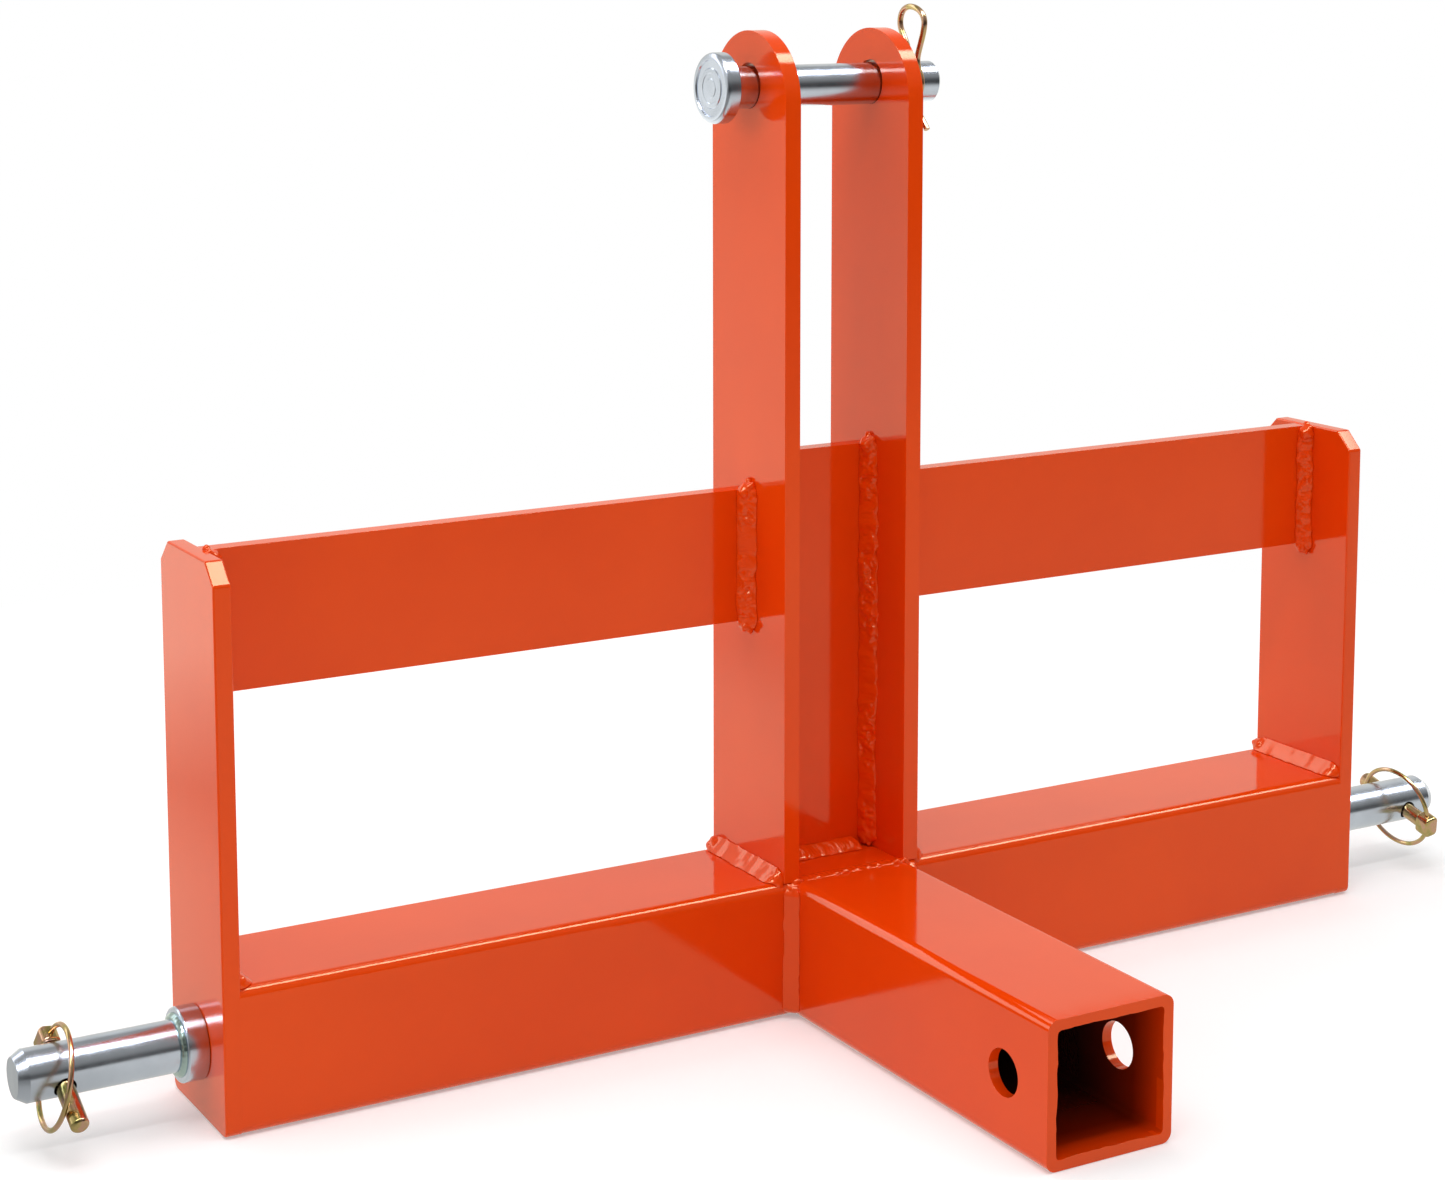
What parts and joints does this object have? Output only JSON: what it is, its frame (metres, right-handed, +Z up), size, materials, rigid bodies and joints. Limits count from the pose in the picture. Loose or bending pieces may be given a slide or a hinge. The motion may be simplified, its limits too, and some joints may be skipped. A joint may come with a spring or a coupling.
{
  "type": "three point receiver hitch",
  "caption": "Welded square-tube hitch frame for a tractor's three point linkage, with a receiver socket in front, lower link pins, linch pins and a mast with a top link pin.",
  "frame": {"origin": "on the ground under the middle of the cross tube", "axes": "+X across the hitch towards the hairpin's side, -Y out of the receiver socket, +Z up the mast"},
  "size_m": [0.773, 0.2536, 0.4608],
  "materials": {
    "powder_coat": "gloss orange-red powder coat",
    "bright_zinc": "bright zinc plate on turned steel",
    "yellow_zinc": "yellow chromated zinc plate"
  },
  "bodies": {
    "frame": {"cross_tube": "powder_coat", "receiver_tube": "powder_coat", "left_mast_bar": "powder_coat", "right_mast_bar": "powder_coat", "mast_web_plate": "powder_coat", "left_rail": "powder_coat", "right_rail": "powder_coat", "left_end_plate": "powder_coat", "right_end_plate": "powder_coat", "receiver_weld": "powder_coat", "mast_foot_welds": "powder_coat", "web_welds": "powder_coat", "left_rail_welds": "powder_coat", "right_rail_welds": "powder_coat", "end_plate_welds": "powder_coat", "left_lower_pin": "bright_zinc", "right_lower_pin": "bright_zinc", "left_pin_collar": "bright_zinc", "right_pin_collar": "bright_zinc", "left_collar_weld": "bright_zinc", "right_collar_weld": "bright_zinc", "left_stud_nut": "bright_zinc", "right_stud_nut": "bright_zinc"},
    "top_pin": {"top_pin": "bright_zinc"},
    "hairpin": {"hairpin_clip": "yellow_zinc"},
    "left_linch": {"left_linch_pin": "yellow_zinc"},
    "left_ring": {"left_linch_ring": "yellow_zinc"},
    "right_linch": {"right_linch_pin": "yellow_zinc"},
    "right_ring": {"right_linch_ring": "yellow_zinc"}
  },
  "joints": [
    {"name": "top_pin_slide", "type": "slide", "parent": "frame", "child": "top_pin", "axis": [1, 0, 0], "range_m": [-0.0115, 0.0123]},
    {"name": "hairpin_pull", "type": "slide", "parent": "top_pin", "child": "hairpin", "axis": [0, 0, 1], "range_m": [0, 0.034], "deforming": ["hairpin_clip"]},
    {"name": "left_linch_pull", "type": "slide", "parent": "frame", "child": "left_linch", "axis": [0, 0.9063, 0.4226], "range_m": [0, 0.0125]},
    {"name": "right_linch_pull", "type": "slide", "parent": "frame", "child": "right_linch", "axis": [0, -0.9659, -0.2588], "range_m": [-0.0095, 0.003]},
    {"name": "left_ring_swing", "type": "hinge", "parent": "left_linch", "child": "left_ring", "pos_m": [-0.3675, 0.01418, 0.03836], "axis": [-0.1908, 0.4149, -0.8897], "range_deg": [0, 165], "stiffness_Nm_per_rad": 0.02},
    {"name": "right_ring_swing", "type": "hinge", "parent": "right_linch", "child": "right_ring", "pos_m": [0.3675, -0.02429, 0.02524], "axis": [0.1908, 0.2541, -0.9482], "range_deg": [0, 165], "stiffness_Nm_per_rad": 0.02}
  ]
}
